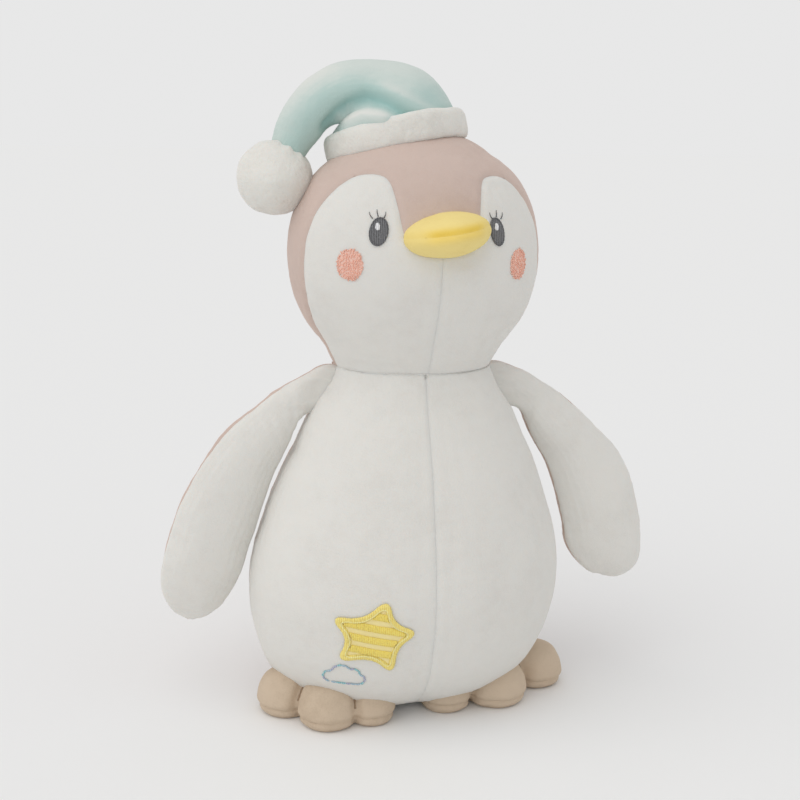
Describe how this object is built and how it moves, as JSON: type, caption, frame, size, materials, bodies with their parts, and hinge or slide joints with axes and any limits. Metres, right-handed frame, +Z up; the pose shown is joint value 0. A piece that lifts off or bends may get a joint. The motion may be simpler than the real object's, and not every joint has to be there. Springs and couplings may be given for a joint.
{
  "type": "plush penguin",
  "caption": "Stuffed penguin soft toy with a floppy night-cap and pompom, sewn flippers, three-toed feet, embroidered face and a star applique on the belly; stands on a weighted base.",
  "frame": {"origin": "centre of the flat base panel, on the surface that the toy stands on", "axes": "+Z up along the body, -Y the way the beak points, +X the toy's left"},
  "size_m": [0.2141, 0.116, 0.2693],
  "materials": {
    "white_velour": "short-pile velour",
    "pink_velour": "short-pile velour",
    "white_plush": "long-pile plush",
    "mint_velour": "short-pile velour",
    "taupe_velour": "short-pile velour",
    "yellow_velour": "short-pile velour",
    "yellow_felt": "felt",
    "yellow_thread": "satin stitch",
    "grey_thread": "satin stitch",
    "white_thread": "satin stitch",
    "coral_thread": "chain stitch",
    "blue_thread": "satin stitch",
    "taupe_thread": "stitching",
    "stuffing": "polyester fibre",
    "pouch_cloth": "woven pouch",
    "pellets": "polyethylene pellets"
  },
  "bodies": {
    "torso": {"body_base_panel": "white_velour", "body_front_right": "white_velour", "body_front_left": "white_velour", "body_back_panel": "pink_velour", "body_filling": "stuffing", "pellet_pouch": "pouch_cloth", "pouch_pellets": "pellets", "neck_collar": "white_velour", "star_applique": "yellow_felt", "star_satin_border": "yellow_thread", "star_stripes": "yellow_thread", "cloud_embroidery": "blue_thread"},
    "neck": {"neck_plug": "stuffing"},
    "head": {"head_filling": "stuffing", "face_panel_right": "white_velour", "face_panel_left": "white_velour", "hood_front_panel": "pink_velour", "head_back_right": "pink_velour", "head_back_left": "pink_velour", "beak_upper": "yellow_velour", "beak_lower": "yellow_velour", "beak_filling": "stuffing", "hat_brim": "white_plush", "hat_cone": "mint_velour", "hat_cone_filling": "stuffing", "eye_right": "grey_thread", "eye_glint_right": "white_thread", "lashes_right": "grey_thread", "cheek_right": "coral_thread", "eye_left": "grey_thread", "eye_glint_left": "white_thread", "lashes_left": "grey_thread", "cheek_left": "coral_thread"},
    "hat_tail": {"hat_tail": "mint_velour", "hat_tail_filling": "stuffing"},
    "pompom": {"hat_pompom": "white_plush", "pompom_filling": "stuffing"},
    "flipper_right_root": {"flipper_right_root": "white_velour"},
    "flipper_right": {"flipper_right_front": "white_velour", "flipper_right_back": "pink_velour", "flipper_right_filling": "stuffing"},
    "flipper_left_root": {"flipper_left_root": "white_velour"},
    "flipper_left": {"flipper_left_front": "white_velour", "flipper_left_back": "pink_velour", "flipper_left_filling": "stuffing"},
    "foot_right": {"foot_right_upper": "taupe_velour", "foot_right_sole": "taupe_velour", "foot_right_filling": "stuffing", "foot_right_toe_stitching": "taupe_thread"},
    "foot_left": {"foot_left_upper": "taupe_velour", "foot_left_sole": "taupe_velour", "foot_left_filling": "stuffing", "foot_left_toe_stitching": "taupe_thread"}
  },
  "joints": [
    {"name": "neck_turn", "type": "hinge", "parent": "torso", "child": "neck", "pos_m": [0.0025, 0, 0.176], "axis": [0, 0, 1], "range_deg": [-25, 25], "stiffness_Nm_per_rad": 0.12},
    {"name": "head_nod", "type": "hinge", "parent": "neck", "child": "head", "pos_m": [0.0025, 0, 0.176], "axis": [1, 0, 0], "range_deg": [-10, 12], "stiffness_Nm_per_rad": 0.25},
    {"name": "hat_tail_swing", "type": "hinge", "parent": "head", "child": "hat_tail", "pos_m": [-0.0315, 0.0044, 0.254], "axis": [0, 1, 0], "range_deg": [0, 45], "stiffness_Nm_per_rad": 0.02},
    {"name": "pompom_wobble", "type": "hinge", "parent": "hat_tail", "child": "pompom", "pos_m": [-0.0506, 0.004, 0.231], "axis": [1, 0, 0], "range_deg": [-18, 18], "stiffness_Nm_per_rad": 0.01},
    {"name": "flipper_right_swing", "type": "hinge", "parent": "torso", "child": "flipper_right_root", "pos_m": [-0.031, 0, 0.1442], "axis": [0.4042, 0, 0.9147], "range_deg": [-20, 20], "stiffness_Nm_per_rad": 0.03},
    {"name": "flipper_right_raise", "type": "hinge", "parent": "flipper_right_root", "child": "flipper_right", "pos_m": [-0.0332, 0, 0.146], "axis": [0, 1, 0], "range_deg": [0, 60], "stiffness_Nm_per_rad": 0.01},
    {"name": "flipper_left_swing", "type": "hinge", "parent": "torso", "child": "flipper_left_root", "pos_m": [0.036, 0, 0.1442], "axis": [-0.4042, 0, 0.9147], "range_deg": [-20, 20], "stiffness_Nm_per_rad": 0.03},
    {"name": "flipper_left_raise", "type": "hinge", "parent": "flipper_left_root", "child": "flipper_left", "pos_m": [0.0382, 0, 0.146], "axis": [0, -1, 0], "range_deg": [0, 60], "stiffness_Nm_per_rad": 0.01},
    {"name": "foot_right_flex", "type": "hinge", "parent": "torso", "child": "foot_right", "pos_m": [-0.031, -0.001, 0.006], "axis": [0.867, -0.4983, 0], "range_deg": [-4, 20], "stiffness_Nm_per_rad": 0.02},
    {"name": "foot_left_flex", "type": "hinge", "parent": "torso", "child": "foot_left", "pos_m": [0.033, 0.005, 0.006], "axis": [0.9062, 0.4229, 0], "range_deg": [-4, 20], "stiffness_Nm_per_rad": 0.02}
  ]
}
